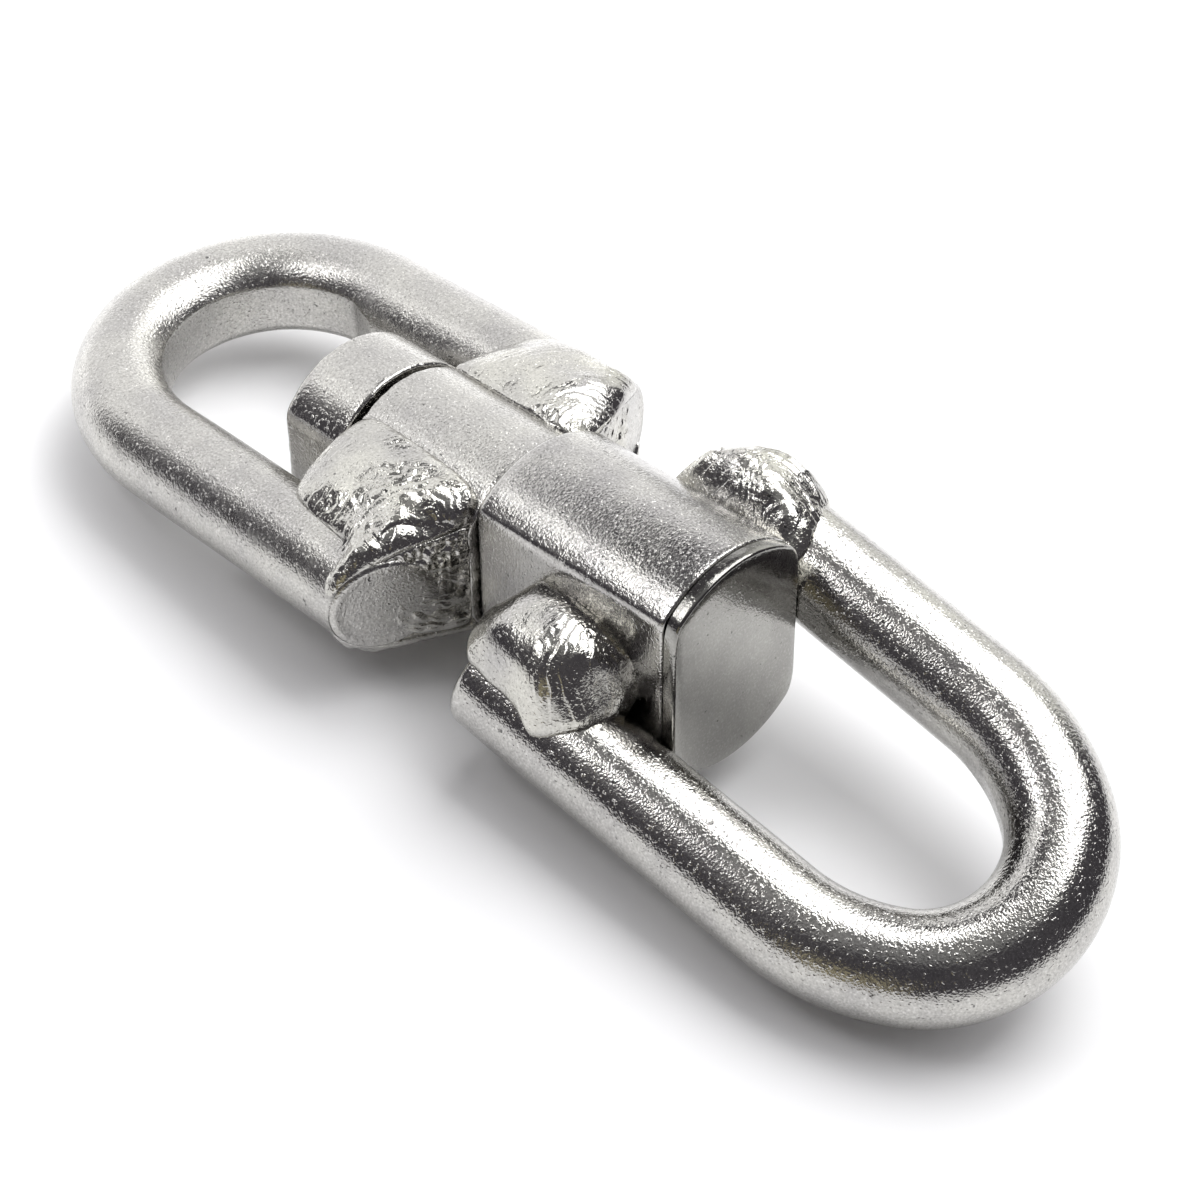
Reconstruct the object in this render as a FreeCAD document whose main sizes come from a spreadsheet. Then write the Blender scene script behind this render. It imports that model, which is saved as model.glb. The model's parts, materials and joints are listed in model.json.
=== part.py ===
import FreeCAD, Part
import math
import os

import Sketcher
from FreeCAD import Placement, Rotation, Vector

# Welded anchor swivel. Two U-shaped bows of round bar are welded to two hubs. The large hub
# holds a headed pin; the small hub turns on it and a collar on the pin's end keeps it there.
#
# Everything is drawn in the swivel's own frame: +X is the pin's axis from the small bow to
# the large one, +Y crosses both legs of a bow, and the hubs' flats are parallel to XZ. The
# last step tilts the whole swivel as it lies on a flat surface and puts its lowest point
# at Z = 0, with the box centred on the origin.

DIMENSIONS = [
    ("bar_dia", 16.0, "round bar of both bows"),
    ("rest_tilt", 6.5, "rise of the pin's axis towards +X on a flat surface, degrees"),
    ("large_hub_dia", 35.4, "large hub, over the round"),
    ("large_hub_flats", 25.2, "large hub, across the flats"),
    ("large_hub_left", -15.5, "large hub, face beside the small hub"),
    ("large_hub_right", 21.4, "large hub, face under the pin's head"),
    ("large_hub_chamfer", 1.6, "chamfer beside the small hub"),
    ("large_hub_break", 0.7, "broken edge under the pin's head"),
    ("small_hub_dia", 30.5, "small hub and collar, over the round"),
    ("small_hub_flats", 25.8, "small hub and collar, across the flats"),
    ("small_hub_left", -43.0, "small hub, face beside the collar"),
    ("small_hub_right", -16.0, "small hub, face beside the large hub"),
    ("small_hub_break", 0.5, "broken edges of the small hub and collar"),
    ("collar_left", -56.5, "collar, outer face"),
    ("collar_right", -44.1, "collar, face beside the small hub"),
    ("pin_dia", 16.0, "pin's shank"),
    ("pin_gap", 0.05, "radial running clearance of the pin in its bores"),
    ("pin_end", -54.3, "end of the shank, inside the collar"),
    ("head_left", 21.6, "pin's head, inner face"),
    ("head_right", 23.9, "pin's head, outer face"),
    ("head_chamfer", 0.6, "chamfer round the pin's head"),
    ("plug_dome", 0.8, "height of the plug weld above the collar"),
    ("large_gap", 20.9, "large bow, leg centre to middle at the bend"),
    ("large_gap_end", 21.9, "large bow, leg centre to middle at the leg's end"),
    ("large_bar_end", -4.0, "large bow, cut end of the legs"),
    ("large_bar_chamfer", 1.2, "large bow, chamfer round the cut ends"),
    ("large_bend", 50.5, "large bow, start of the bend"),
    ("large_side_r", 33.0, "large bow, radius of the bend's sides"),
    ("large_tip_r", 18.6, "large bow, radius of the bend's tip"),
    ("large_roll", 19.8, "large bow, roll about the pin's axis as welded, degrees"),
    ("large_pitch", 11.6, "large bow, droop as welded, degrees"),
    ("large_yaw", 0.8, "large bow, swing as welded, degrees"),
    ("large_drop", 1.8, "large bow, drop below the pin's axis as welded"),
    ("large_pivot", 8.0, "large bow, place on the pin's axis that the tilts are about"),
    ("seat_gap", 0.05, "large bow, gap between a milled seat and the hub's flat"),
    ("seat_end", 29.0, "large bow, end of the milled seats"),
    ("small_gap", 24.1, "small bow, leg centre to middle at the bend"),
    ("small_gap_end", 24.7, "small bow, leg centre to middle at the leg's end"),
    ("small_bar_end", -13.2, "small bow, end of the bar before its legs are bevelled"),
    ("small_leg_end", -16.2, "small bow, inner corner of the bevelled leg ends"),
    ("small_bevel", 22.0, "small bow, bevel of the leg ends, degrees"),
    ("small_bend", -72.6, "small bow, start of the bend"),
    ("small_side_r", 26.0, "small bow, radius of the bend's sides"),
    ("small_tip_r", 23.6, "small bow, radius of the bend's tip"),
    ("small_roll", 3.6, "small bow, roll about the pin's axis as welded, degrees"),
    ("small_pitch", 0.7, "small bow, droop as welded, degrees"),
    ("small_yaw", 0.65, "small bow, swing as welded, degrees"),
    ("small_drop", -0.35, "small bow, drop below the pin's axis as welded"),
    ("small_pivot", -24.0, "small bow, place on the pin's axis that the tilts are about"),
    ("heel_start", 11.0, "large welds, where the heel bead takes over from the long beads"),
    ("bead_middle", 5.5, "large welds, middle of the joint along the pin's axis"),
    ("bead_half", 13.5, "large welds, half the joint's length with its heel and toe"),
    ("near_top_out", 16.0, "near leg's top bead, its middle across the pin"),
    ("near_top_up", -4.5, "near leg's top bead, its middle above the pin's axis"),
    ("near_top_wide", 11.5, "near leg's top bead, half its width"),
    ("near_top_tall", 12.8, "near leg's top bead, half its height"),
    ("near_bottom_out", 14.5, "near leg's bottom bead, its middle across the pin"),
    ("near_bottom_up", -10.0, "near leg's bottom bead, its middle above the pin's axis"),
    ("near_bottom_wide", 9.0, "near leg's bottom bead, half its width"),
    ("near_bottom_tall", 8.5, "near leg's bottom bead, half its height"),
    ("far_top_out", 18.3, "far leg's top bead, its middle across the pin"),
    ("far_top_up", 6.5, "far leg's top bead, its middle above the pin's axis"),
    ("far_top_wide", 10.0, "far leg's top bead, half its width"),
    ("far_top_tall", 8.8, "far leg's top bead, half its height"),
    ("far_bottom_out", 15.0, "far leg's bottom bead, its middle across the pin"),
    ("far_bottom_up", 1.0, "far leg's bottom bead, its middle above the pin's axis"),
    ("far_bottom_wide", 9.0, "far leg's bottom bead, half its width"),
    ("far_bottom_tall", 11.0, "far leg's bottom bead, half its height"),
    ("block_left", -42.5, "small welds, end beside the collar"),
    ("block_crest_out", 8.6, "small welds, crest of a block on the hub, across the pin"),
    ("block_crest_up", 12.8, "small welds, crest of a block on the hub, height"),
    ("block_brow_out", 25.0, "small welds, brow of a block over the leg, across the pin"),
    ("block_brow_up", 8.6, "small welds, brow of a block over the leg, height"),
    ("block_rim_out", 29.6, "small welds, outer rim of a block, across the pin"),
    ("block_rim_up", 4.5, "small welds, outer rim of a block, height"),
    ("block_foot_out", 27.0, "small welds, foot of a block beside a root run"),
    ("root_out", 24.0, "small welds, reach of the root runs across the pin"),
    ("root_half", 3.0, "small welds, half the height of the root runs"),
    ("overlap", 1.0, "how far welds start inside a hub and stay outside the bore"),
    ("reach", 60.0, "reach of cutting shapes, past every piece they cut"),
]

SHEET = "Dims"
START_RADIUS = 5.0  # circles are drawn this size before the sheet drives them
SAME = 1e-4  # two places closer than this are one

document = FreeCAD.newDocument("anchor_swivel")
sheet = document.addObject("Spreadsheet::Sheet", SHEET)


def fill_sheet():
    """Write each driving dimension to a row: value, alias and meaning."""
    for row, (alias, value, meaning) in enumerate(DIMENSIONS, start=1):
        sheet.set(f"A{row}", str(value))
        sheet.setAlias(f"A{row}", alias)
        sheet.set(f"B{row}", meaning)
    document.recompute()


def dim(alias):
    """A driving dimension's value."""
    return float(getattr(sheet, alias))


def cell(alias):
    """How an expression names a driving dimension."""
    return f"{SHEET}.{alias}"


def value(expression):
    """An expression's value."""
    return float(sheet.evalExpression(expression))


def signed(sign, expression):
    """An expression, or its opposite for a negative sign."""
    return expression if sign > 0 else f"-({expression})"


def past_bore():
    """An expression for the radius just outside the pin's bore."""
    return f"{cell('pin_dia')} / 2 + {cell('overlap')}"


# ---------------------------------------------------------------- sketch and body helpers


def new_body(label):
    body = document.addObject("PartDesign::Body", label)
    body.Label = label
    return body


def origin_plane(body, role):
    return next(f for f in body.Origin.OriginFeatures if f.Role == role)


def new_sketch(body, name, role, offset=None):
    """A sketch on one of the body's own origin planes, moved along its normal by offset."""
    sketch = body.newObject("Sketcher::SketchObject", name)
    sketch.AttachmentSupport = (origin_plane(body, role), [""])
    sketch.MapMode = "FlatFace"
    if offset:
        sketch.setExpression("AttachmentOffset.Base.z", offset)
    return sketch


def constrain(sketch, name, kind, *args, expression):
    """Add a named dimension to a sketch and bind it to the sheet."""
    index = sketch.addConstraint(Sketcher.Constraint(kind, *args))
    sketch.renameConstraint(index, name)
    sketch.setExpression(f".Constraints.{name}", expression)


def add_double_d(sketch, dia, flats):
    """A circle with two upright flats, centred on the sketch's origin."""
    radius = dim(dia) / 2
    half = dim(flats) / 2
    tall = math.sqrt(radius**2 - half**2)
    corner = math.atan2(tall, half)
    circle = Part.Circle(Vector(0, 0, 0), Vector(0, 0, 1), radius)
    top = sketch.addGeometry(Part.ArcOfCircle(circle, corner, math.pi - corner))
    left = sketch.addGeometry(Part.LineSegment(Vector(-half, tall, 0), Vector(-half, -tall, 0)))
    low = sketch.addGeometry(Part.ArcOfCircle(circle, math.pi + corner, 2 * math.pi - corner))
    right = sketch.addGeometry(Part.LineSegment(Vector(half, -tall, 0), Vector(half, tall, 0)))
    for joint in ((top, 2, left, 1), (left, 2, low, 1), (low, 2, right, 1), (right, 2, top, 1),
                  (top, 3, -1, 1), (low, 3, -1, 1)):
        sketch.addConstraint(Sketcher.Constraint("Coincident", *joint))
    sketch.addConstraint(Sketcher.Constraint("Vertical", left))
    sketch.addConstraint(Sketcher.Constraint("Vertical", right))
    sketch.addConstraint(Sketcher.Constraint("Symmetric", top, 1, top, 2, -2))
    constrain(sketch, "radius", "Radius", top, radius, expression=f"{cell(dia)} / 2")
    constrain(sketch, "flats", "DistanceX", left, 1, right, 2, 2 * half, expression=cell(flats))


def add_circle(sketch, name, radius, centre_x=None):
    """A circle on the sketch's horizontal axis, at its origin unless centre_x says where."""
    circle = sketch.addGeometry(Part.Circle(Vector(0, 0, 0), Vector(0, 0, 1), START_RADIUS))
    constrain(sketch, name, "Radius", circle, START_RADIUS, expression=radius)
    if centre_x is None:
        sketch.addConstraint(Sketcher.Constraint("Coincident", circle, 3, -1, 1))
    else:
        sketch.addConstraint(Sketcher.Constraint("PointOnObject", circle, 3, -1))
        constrain(sketch, f"{name}_x", "DistanceX", -1, 1, circle, 3, 0.0, expression=centre_x)


def add_polygon(sketch, corners):
    """A closed outline; each corner is a pair of expressions in the sketch's own axes."""
    points = [Vector(value(across), value(up), 0) for across, up in corners]
    lines = []
    for start, end in zip(points, points[1:] + points[:1]):
        lines.append(sketch.addGeometry(Part.LineSegment(start, end)))
    for line, after in zip(lines, lines[1:] + lines[:1]):
        sketch.addConstraint(Sketcher.Constraint("Coincident", line, 2, after, 1))
    for line, point, (across, up) in zip(lines, points, corners):
        constrain(sketch, f"corner{line}_across", "DistanceX", -1, 1, line, 1, point.x,
                  expression=across)
        constrain(sketch, f"corner{line}_up", "DistanceY", -1, 1, line, 1, point.y,
                  expression=up)


def pad(body, sketch, length):
    """Pad a sketch along its normal by an expression."""
    feature = body.newObject("PartDesign::Pad", f"{body.Name}_{sketch.Name}_pad")
    feature.Profile = sketch
    feature.setExpression("Length", length)
    document.recompute()
    return feature


def chamfer_edges(body, chosen, size):
    """Chamfer the edges of the body's tip that chosen(edge) picks."""
    base = body.Tip
    names = [f"Edge{i}" for i, edge in enumerate(base.Shape.Edges, start=1) if chosen(edge)]
    feature = body.newObject("PartDesign::Chamfer", f"{base.Name}_chamfer")
    feature.Base = (base, names)
    feature.setExpression("Size", size)
    document.recompute()
    return feature


def outline_at(place, inside):
    """Pick the outer edges of the end face at a dimension's place along the pin's axis.

    inside is an expression for a radius, and edges within it are left alone.
    """
    x, radius = dim(place), value(inside)

    def chosen(edge):
        box = edge.BoundBox
        on_face = abs(box.XMin - x) < SAME and abs(box.XMax - x) < SAME
        far = max(abs(box.YMin), abs(box.YMax), abs(box.ZMin), abs(box.ZMax))
        return on_face and far > radius
    return chosen


def pocket(body, sketch, what):
    """Cut a sketch right through the body, both ways, and make sure that it does cut."""
    before = body.Shape.Volume
    feature = body.newObject("PartDesign::Pocket", f"{body.Name}_{what}")
    feature.Profile = sketch
    feature.Type = "ThroughAll"
    feature.Midplane = True
    document.recompute()
    if not body.Shape.Volume < before - SAME:
        raise RuntimeError(f"{what} cuts nothing from {body.Label}")
    return feature


# ---------------------------------------------------------------- hubs, pin and collar


def make_hub(label, dia, flats, left, right):
    """A bored length of bar with two flats."""
    body = new_body(label)
    profile = new_sketch(body, f"{label}_profile", "YZ_Plane", cell(left))
    add_double_d(profile, dia, flats)
    add_circle(profile, "bore", f"{cell('pin_dia')} / 2 + {cell('pin_gap')}")
    pad(body, profile, f"{cell(right)} - {cell(left)}")
    return body


def make_large_hub():
    body = make_hub("large_hub", "large_hub_dia", "large_hub_flats",
                    "large_hub_left", "large_hub_right")
    chamfer_edges(body, outline_at("large_hub_left", past_bore()), cell("large_hub_chamfer"))
    chamfer_edges(body, outline_at("large_hub_right", past_bore()), cell("large_hub_break"))
    return body


def make_small_hub():
    body = make_hub("small_hub", "small_hub_dia", "small_hub_flats",
                    "small_hub_left", "small_hub_right")
    chamfer_edges(body, outline_at("small_hub_left", past_bore()), cell("small_hub_break"))
    return body


def make_collar():
    body = make_hub("retaining_collar", "small_hub_dia", "small_hub_flats",
                    "collar_left", "collar_right")
    for face in ("collar_left", "collar_right"):
        chamfer_edges(body, outline_at(face, past_bore()), cell("small_hub_break"))
    return body


def make_pin():
    """The pin: a thin head with the large hub's two flats, and a plain shank."""
    body = new_body("swivel_pin")
    head = new_sketch(body, "pin_head", "YZ_Plane", cell("head_left"))
    add_double_d(head, "large_hub_dia", "large_hub_flats")
    pad(body, head, f"{cell('head_right')} - {cell('head_left')}")
    shank = new_sketch(body, "pin_shank", "YZ_Plane", cell("pin_end"))
    add_circle(shank, "shank", f"{cell('pin_dia')} / 2")
    pad(body, shank, f"{cell('head_left')} - {cell('pin_end')}")
    chamfer_edges(body, outline_at("head_right", past_bore()), cell("head_chamfer"))
    return body


def make_pin_end_weld():
    """A low dome that fills the collar's bore past the end of the pin."""
    body = new_body("pin_end_weld")
    radius, dome = dim("pin_dia") / 2, dim("plug_dome")
    left, right = dim("collar_left"), dim("pin_end")
    curve = (radius**2 + dome**2) / (2 * dome)
    centre = Vector(left - dome + curve, 0, 0)
    spread = math.asin(radius / curve)
    sketch = new_sketch(body, "plug_half", "XY_Plane")
    axis = sketch.addGeometry(
        Part.LineSegment(Vector(left - dome, 0, 0), Vector(right, 0, 0)))
    end = sketch.addGeometry(
        Part.LineSegment(Vector(right, 0, 0), Vector(right, radius, 0)))
    wall = sketch.addGeometry(
        Part.LineSegment(Vector(right, radius, 0), Vector(left, radius, 0)))
    crown, rim, tip = add_arc(sketch, centre, curve, math.pi - spread, math.pi)
    for joint in ((axis, 2, end, 1), (end, 2, wall, 1), (wall, 2, crown, rim),
                  (crown, tip, axis, 1)):
        sketch.addConstraint(Sketcher.Constraint("Coincident", *joint))
    for point in ((axis, 1), (axis, 2), (crown, 3)):
        sketch.addConstraint(Sketcher.Constraint("PointOnObject", *point, -1))
    sketch.addConstraint(Sketcher.Constraint("Vertical", end))
    sketch.addConstraint(Sketcher.Constraint("Horizontal", wall))
    constrain(sketch, "end", "DistanceX", -1, 1, end, 1, right, expression=cell("pin_end"))
    constrain(sketch, "radius", "DistanceY", end, 1, end, 2, radius,
              expression=f"{cell('pin_dia')} / 2")
    constrain(sketch, "rim", "DistanceX", -1, 1, crown, rim, left,
              expression=cell("collar_left"))
    constrain(sketch, "dome", "DistanceX", -1, 1, crown, tip, left - dome,
              expression=f"{cell('collar_left')} - {cell('plug_dome')}")
    turned = body.newObject("PartDesign::Revolution", "plug_turned")
    turned.Profile = sketch
    turned.ReferenceAxis = (sketch, ["H_Axis"])
    turned.Angle = 360.0
    document.recompute()
    return body


# ---------------------------------------------------------------- bows


def add_arc(sketch, centre, radius, first, last):
    """An arc between two angles, with the indices of its ends at first and at last."""
    circle = Part.Circle(centre, Vector(0, 0, 1), radius)
    arc = sketch.addGeometry(Part.ArcOfCircle(circle, min(first, last), max(first, last)))
    return (arc, 1, 2) if first < last else (arc, 2, 1)


def add_bow_path(sketch, side, way):
    """The bar's centre line: a leg, three tangent arcs round the bend and the other leg.

    way is +1 or -1, the side of the bow's tip along X.
    """
    bend, gap, gap_end = dim(f"{side}_bend"), dim(f"{side}_gap"), dim(f"{side}_gap_end")
    side_r, tip_r = dim(f"{side}_side_r"), dim(f"{side}_tip_r")
    over = side_r - gap
    reach = math.sqrt((side_r - tip_r) ** 2 - over**2)
    knuckle = math.atan2(over, reach)
    start = dim(f"{side}_bar_end")

    def turned(angle):
        """The angle as drawn for a tip at +X, or its mirror image for a tip at -X."""
        return angle if way > 0 else math.pi - angle

    near_foot = Vector(bend, -gap, 0)
    near = sketch.addGeometry(Part.LineSegment(Vector(start, -gap_end, 0), near_foot))
    side_near = add_arc(sketch, Vector(bend, over, 0), side_r,
                        turned(-math.pi / 2), turned(-knuckle))
    tip = add_arc(sketch, Vector(bend + way * reach, 0, 0), tip_r,
                  turned(-knuckle), turned(knuckle))
    side_far = add_arc(sketch, Vector(bend, -over, 0), side_r,
                       turned(knuckle), turned(math.pi / 2))
    far_foot = Vector(bend, gap, 0)
    far = sketch.addGeometry(Part.LineSegment(far_foot, Vector(start, gap_end, 0)))
    chain = [(near, 1, 2), side_near, tip, side_far, (far, 1, 2)]
    for (one, _, end), (other, begin, _) in zip(chain, chain[1:]):
        sketch.addConstraint(Sketcher.Constraint("Tangent", one, end, other, begin))
    arc_near, arc_far = side_near[0], side_far[0]
    sketch.addConstraint(Sketcher.Constraint("Equal", arc_near, arc_far))
    sketch.addConstraint(Sketcher.Constraint("Symmetric", near, 1, far, 2, -1))
    sketch.addConstraint(Sketcher.Constraint("Symmetric", arc_near, 3, arc_far, 3, -1))
    constrain(sketch, "side_r", "Radius", arc_near, side_r, expression=cell(f"{side}_side_r"))
    constrain(sketch, "tip_r", "Radius", tip[0], tip_r, expression=cell(f"{side}_tip_r"))
    constrain(sketch, "bend", "DistanceX", -1, 1, arc_near, 3, bend,
              expression=cell(f"{side}_bend"))
    constrain(sketch, "over", "DistanceY", -1, 1, arc_near, 3, over,
              expression=f"{cell(side + '_side_r')} - {cell(side + '_gap')}")
    constrain(sketch, "gap_end", "DistanceY", near, 1, far, 2, 2 * gap_end,
              expression=f"2 * {cell(side + '_gap_end')}")
    constrain(sketch, "bar_end", "DistanceX", -1, 1, near, 1, start,
              expression=cell(f"{side}_bar_end"))


def make_bow(label, side, way):
    """A bow: round bar swept along its centre line."""
    body = new_body(label)
    path = new_sketch(body, f"{side}_path", "XY_Plane")
    add_bow_path(path, side, way)
    section = new_sketch(body, f"{side}_section", "YZ_Plane", cell(f"{side}_bar_end"))
    add_circle(section, "bar_round", f"{cell('bar_dia')} / 2", f"-{cell(side + '_gap_end')}")
    document.recompute()
    sweep = body.newObject("PartDesign::AdditivePipe", f"{side}_bar")
    sweep.Profile = section
    sweep.Spine = (path, [""])
    document.recompute()
    return body


def make_large_bow():
    """The large bow as it sits on the hub, with flat seats milled inside its legs."""
    bar = make_bow("large_bar_bent", "large", 1)
    chamfer_edges(bar, outline_at("large_bar_end", past_bore()), cell("large_bar_chamfer"))
    bar.Placement = bow_placement("large")
    reach = cell("reach")
    half = f"{cell('large_hub_flats')} / 2 + {cell('seat_gap')}"
    seats = make_block("large_seats", (f"-{reach}", f"-({half})", f"-{reach}"),
                       (cell("seat_end"), half, reach))
    return combine("Part::Cut", "large_bow", bar, seats)


def bevel_corners():
    """Outline that cuts both leg ends of the small bow, wider than the bow itself."""
    tip, outer = cell("small_leg_end"), cell("reach")
    inner = f"{cell('small_hub_flats')} / 2"
    back = f"{tip} - ({outer} - {inner}) * tan({cell('small_bevel')})"
    return [(tip, f"-{inner}"), (tip, inner), (back, outer), (outer, outer),
            (outer, f"-{outer}"), (back, f"-{outer}")]


def make_small_bow():
    """The small bow, with its leg ends bevelled back from the hub."""
    body = make_bow("small_bow", "small", -1)
    ends = new_sketch(body, "small_ends", "XY_Plane")
    add_polygon(ends, bevel_corners())
    pocket(body, ends, "end_bevel")
    body.Placement = bow_placement("small")
    return body


def bow_placement(side):
    """How a bow sits on its hub as welded: roll, pitch and yaw about a point on the axis."""
    turn = Rotation(dim(f"{side}_yaw"), dim(f"{side}_pitch"), dim(f"{side}_roll"))
    pivot = Vector(dim(f"{side}_pivot"), 0, 0)
    base = pivot - turn.multVec(pivot) - Vector(0, 0, dim(f"{side}_drop"))
    return Placement(base, turn)


# ---------------------------------------------------------------- welds


def leg_middle(side, x, hand):
    """Height of a leg's centre line at x. hand is -1 on the near leg and +1 on the far one."""
    gap = (dim(f"{side}_gap") + dim(f"{side}_gap_end")) / 2
    return bow_placement(side).multVec(Vector(x, hand * gap, 0)).z


def make_block(label, low, high):
    """A box between two corners, for clipping; each corner is three expressions."""
    block = document.addObject("Part::Box", label)
    for size, start, end in zip(("Length", "Width", "Height"), low, high):
        block.setExpression(size, f"({end}) - ({start})")
    block.Placement = Placement(Vector(*(value(place) for place in low)), Rotation())
    return block


def make_ellipsoid(label, centre, radii):
    """An ellipsoid; its centre and its half-sizes along X, Y and Z are expressions."""
    bead = document.addObject("Part::Ellipsoid", label)
    for size, radius in zip(("Radius2", "Radius3", "Radius1"), radii):
        bead.setExpression(size, radius)
    for axis, place in zip("xyz", centre):
        bead.setExpression(f".Placement.Base.{axis}", place)
    return bead


def combine(kind, label, one, other):
    """A boolean of two objects."""
    result = document.addObject(kind, label)
    if kind == "Part::Cut":
        result.Base, result.Tool = one, other
    else:
        result.Shapes = [one, other]
    return result


def make_large_beads(leg, hand):
    """The bead above and the bead below a leg, parted along the leg's centre line."""
    split = leg_middle("large", dim("bead_middle"), hand)
    along_leg = Placement(Vector(dim("bead_middle"), 0, split),
                          Rotation(0, dim("large_pitch"), 0))
    reach, inner = cell("reach"), past_bore()
    near, far = (f"-{reach}", f"-({inner})") if hand < 0 else (inner, reach)
    halves = {}
    for face, low, high in (("top", "0", reach), ("bottom", f"-{reach}", "0")):
        out, up, wide, tall = (cell(f"{leg}_{face}_{size}")
                               for size in ("out", "up", "wide", "tall"))
        bead = make_ellipsoid(f"{leg}_{face}_bead", (cell("bead_middle"), signed(hand, out), up),
                              (cell("bead_half"), wide, tall))
        slab = make_block(f"{leg}_{face}_slab", (f"-{reach}", near, low), (reach, far, high))
        slab.Placement = along_leg.multiply(slab.Placement)
        halves[face] = combine("Part::MultiCommon", f"{leg}_{face}_half", bead, slab)
    return halves["top"], halves["bottom"]


def make_large_welds(metal):
    """Beads round each leg of the large bow: long ones above and below, a heel and a toe."""
    welds = []
    reach, toe, heel = cell("reach"), cell("large_bar_end"), cell("heel_start")
    for leg, hand in (("near", -1), ("far", 1)):
        top, bottom = make_large_beads(leg, hand)
        whole = combine("Part::MultiFuse", f"{leg}_beads", top, bottom)
        for name, bead, start, end in (("top", top, toe, heel),
                                       ("bottom", bottom, toe, reach),
                                       ("heel", top, heel, reach),
                                       ("toe", whole, f"-{reach}", toe)):
            slab = make_block(f"{leg}_{name}_span", (start, f"-{reach}", f"-{reach}"),
                              (end, reach, reach))
            span = combine("Part::MultiCommon", f"{leg}_{name}_part", bead, slab)
            welds.append(combine("Part::Cut", f"large_{leg}_{name}_weld", span, metal))
    return welds


def make_small_welds(metal):
    """Blocks above and below each leg of the small bow, and root runs between them."""
    welds = []
    inner = f"{cell('small_hub_flats')} / 2 - {cell('overlap')}"
    root, root_out = cell("root_half"), cell("root_out")
    block = [(cell(f"block_{corner}_out"), cell(f"block_{corner}_up"))
             for corner in ("crest", "brow", "rim")]
    block += [(cell("block_foot_out"), root), (inner, root)]
    run = [(inner, f"-{root}"), (inner, root), (root_out, root), (root_out, f"-{root}")]
    for leg, hand in (("near", -1), ("far", 1)):
        for name, section, rise in (("top", block, 1), ("bottom", block, -1), ("root", run, 1)):
            body = new_body(f"{leg}_{name}_bar")
            sketch = new_sketch(body, f"{leg}_{name}_section", "YZ_Plane", cell("block_left"))
            add_polygon(sketch, [(signed(hand, out), signed(rise, up)) for out, up in section])
            pad(body, sketch, f"{cell('small_leg_end')} - {cell('block_left')}")
            ends = new_sketch(body, f"{leg}_{name}_ends", "XY_Plane")
            add_polygon(ends, bevel_corners())
            pocket(body, ends, "bevel")
            body.Placement = Placement(Vector(), Rotation(0, 0, dim("small_roll")))
            welds.append(combine("Part::Cut", f"small_{leg}_{name}_weld", body, metal))
    return welds


# ---------------------------------------------------------------- the whole swivel


def stand_on_floor(parts):
    """How the swivel lies: tilted, with its lowest point at Z = 0 and its box centred."""
    tilt = Rotation(Vector(0, 1, 0), -dim("rest_tilt"))
    box = FreeCAD.BoundBox()
    for part in parts:
        shape = part.Shape.copy()
        shape.transformShape(Placement(Vector(), tilt).toMatrix())
        box.add(shape.optimalBoundingBox(False))
    low_middle = Vector((box.XMin + box.XMax) / 2, (box.YMin + box.YMax) / 2, box.ZMin)
    return Placement(-low_middle, tilt)


def check(parts):
    """Stop if anything failed to compute, or a piece isn't one valid solid."""
    for thing in document.Objects:
        if any(word in thing.State for word in ("Invalid", "Error")):
            raise RuntimeError(f"{thing.Label} failed: {thing.State}")
    faults = [part.Label for part in parts
              if part.Shape.isNull() or not part.Shape.isValid() or len(part.Shape.Solids) != 1]
    if faults:
        raise RuntimeError(f"not one valid solid: {faults}")


fill_sheet()
large_hub, small_hub = make_large_hub(), make_small_hub()
large_bow, small_bow = make_large_bow(), make_small_bow()
loose_parts = [make_pin(), make_collar(), make_pin_end_weld()]
large_metal = combine("Part::MultiFuse", "large_metal", large_hub, large_bow)
small_metal = combine("Part::MultiFuse", "small_metal", small_hub, small_bow)
weld_parts = make_large_welds(large_metal) + make_small_welds(small_metal)
all_parts = [large_hub, small_hub, large_bow, small_bow] + loose_parts + weld_parts
document.recompute()
check(all_parts)
rest = stand_on_floor(all_parts)
os.makedirs("parts", exist_ok=True)
for part in all_parts:
    shape = part.Shape.copy()
    shape.Placement = rest.multiply(shape.Placement)
    shape.exportStep(f"parts/{part.Label}.step")
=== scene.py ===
import json
import math

import bpy
import numpy as np
from mathutils import Matrix, Vector

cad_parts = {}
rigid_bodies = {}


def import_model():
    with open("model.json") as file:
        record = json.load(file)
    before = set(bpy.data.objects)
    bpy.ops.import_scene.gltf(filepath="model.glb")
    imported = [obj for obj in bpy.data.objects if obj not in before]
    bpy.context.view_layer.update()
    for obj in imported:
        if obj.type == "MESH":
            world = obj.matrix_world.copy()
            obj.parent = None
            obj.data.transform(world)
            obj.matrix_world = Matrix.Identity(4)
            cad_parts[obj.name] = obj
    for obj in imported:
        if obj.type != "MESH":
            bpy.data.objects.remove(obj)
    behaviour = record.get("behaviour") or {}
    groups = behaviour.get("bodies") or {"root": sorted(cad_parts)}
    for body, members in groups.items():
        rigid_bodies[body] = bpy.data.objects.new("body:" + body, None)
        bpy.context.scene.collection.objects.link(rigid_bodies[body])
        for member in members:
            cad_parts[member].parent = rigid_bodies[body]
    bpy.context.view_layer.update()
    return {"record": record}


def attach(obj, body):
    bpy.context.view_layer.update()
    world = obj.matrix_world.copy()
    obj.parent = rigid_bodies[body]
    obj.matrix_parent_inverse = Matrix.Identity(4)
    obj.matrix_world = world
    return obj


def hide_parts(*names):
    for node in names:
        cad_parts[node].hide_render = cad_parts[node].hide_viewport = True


# Looks of the welded anchor swivel. Shapes are worked out in the swivel's own frame, in
# millimetres: x along the pin from the small bow to the large one, y across the legs, z up
# from the flats' middle. The record's joint says where that frame lies in the row frame.

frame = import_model()

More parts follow.
